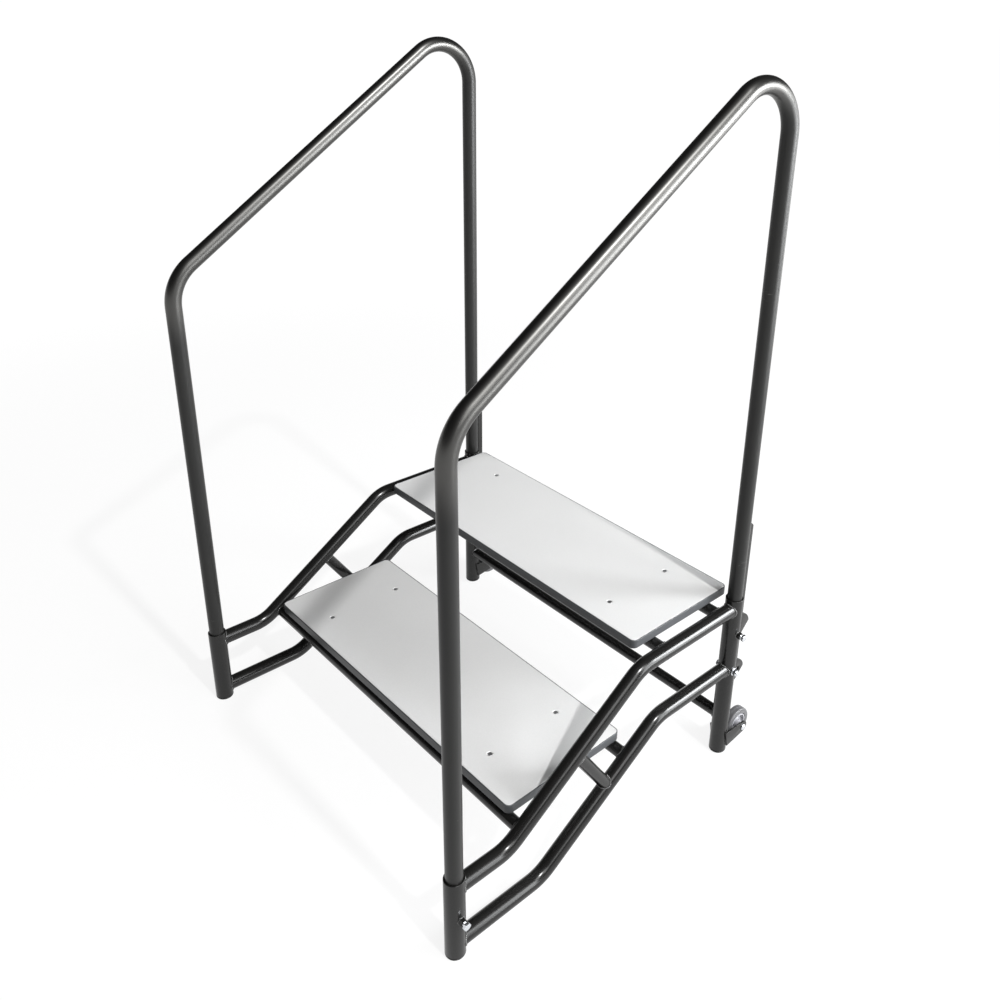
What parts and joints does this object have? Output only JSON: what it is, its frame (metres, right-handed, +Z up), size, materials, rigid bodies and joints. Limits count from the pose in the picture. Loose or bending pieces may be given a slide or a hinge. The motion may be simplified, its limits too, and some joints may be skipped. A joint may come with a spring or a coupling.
{
  "type": "stage stairs",
  "caption": "Portable stage steps: open tube frame with flat board treads, a sloping handrail on each side, hook plates and rolling wheels at the back.",
  "frame": {"origin": "middle of the whole outline, on the floor", "axes": "+X to the climber's right, +Y the way up the stairs towards the stage, +Z up"},
  "size_m": [0.9624, 0.846, 1.4541],
  "materials": {
    "frame_coat": "glossy dark grey coating on welded steel tube and plate",
    "handrail_coat": "satin dark grey coating on bent steel tube",
    "tread_board": "light grey laminate on board, faintly mottled",
    "edge_band": "mid grey strip round the board's edge",
    "zinc_steel": "bright zinc plate",
    "foot": "black moulded cap",
    "tyre": "light grey solid tyre",
    "hub_plastic": "light grey moulded hub"
  },
  "bodies": {
    "stairs": {"right_front_leg": "frame_coat", "left_front_leg": "frame_coat", "right_rear_leg": "frame_coat", "left_rear_leg": "frame_coat", "right_front_foot": "foot", "left_front_foot": "foot", "right_rear_foot": "foot", "left_rear_foot": "foot", "right_upper_rail": "frame_coat", "left_upper_rail": "frame_coat", "right_lower_rail": "frame_coat", "left_lower_rail": "frame_coat", "right_rail_brace": "frame_coat", "left_rail_brace": "frame_coat", "right_hook_plate": "frame_coat", "left_hook_plate": "frame_coat", "right_lower_tread_strap": "frame_coat", "left_lower_tread_strap": "frame_coat", "lower_tread_front_bar": "frame_coat", "lower_tread_rear_bar": "frame_coat", "upper_tread_front_bar": "frame_coat", "upper_tread_rear_bar": "frame_coat", "rear_leg_bar": "frame_coat", "lower_tread_board": "tread_board", "lower_tread_edge_band": "edge_band", "lower_tread_screw_front_left": "zinc_steel", "lower_tread_screw_front_right": "zinc_steel", "lower_tread_screw_rear_left": "zinc_steel", "lower_tread_screw_rear_right": "zinc_steel", "upper_tread_board": "tread_board", "upper_tread_edge_band": "edge_band", "upper_tread_screw_front_left": "zinc_steel", "upper_tread_screw_front_right": "zinc_steel", "upper_tread_screw_rear_left": "zinc_steel", "upper_tread_screw_rear_right": "zinc_steel", "right_handrail": "handrail_coat", "left_handrail": "handrail_coat", "right_front_handrail_bolt": "zinc_steel", "left_front_handrail_bolt": "zinc_steel", "right_front_handrail_nut": "frame_coat", "left_front_handrail_nut": "frame_coat", "right_rear_handrail_upper_bolt": "zinc_steel", "left_rear_handrail_upper_bolt": "zinc_steel", "right_rear_handrail_upper_nut": "frame_coat", "left_rear_handrail_upper_nut": "frame_coat", "right_rear_handrail_lower_bolt": "zinc_steel", "left_rear_handrail_lower_bolt": "zinc_steel", "right_rear_handrail_lower_nut": "zinc_steel", "left_rear_handrail_lower_nut": "zinc_steel", "right_wheel_outer_cheek": "frame_coat", "left_wheel_outer_cheek": "frame_coat", "right_wheel_inner_cheek": "frame_coat", "left_wheel_inner_cheek": "frame_coat", "right_wheel_axle": "zinc_steel", "left_wheel_axle": "zinc_steel"},
    "right_wheel": {"right_wheel_tyre": "tyre", "right_wheel_hub": "hub_plastic"},
    "left_wheel": {"left_wheel_tyre": "tyre", "left_wheel_hub": "hub_plastic"}
  },
  "joints": [
    {"name": "right_wheel_spin", "type": "hinge", "parent": "stairs", "child": "right_wheel", "pos_m": [0.4445, 0.38555, 0.041], "axis": [1, 0, 0], "continuous": true},
    {"name": "left_wheel_spin", "type": "hinge", "parent": "stairs", "child": "left_wheel", "pos_m": [-0.4445, 0.38555, 0.041], "axis": [1, 0, 0], "continuous": true}
  ]
}
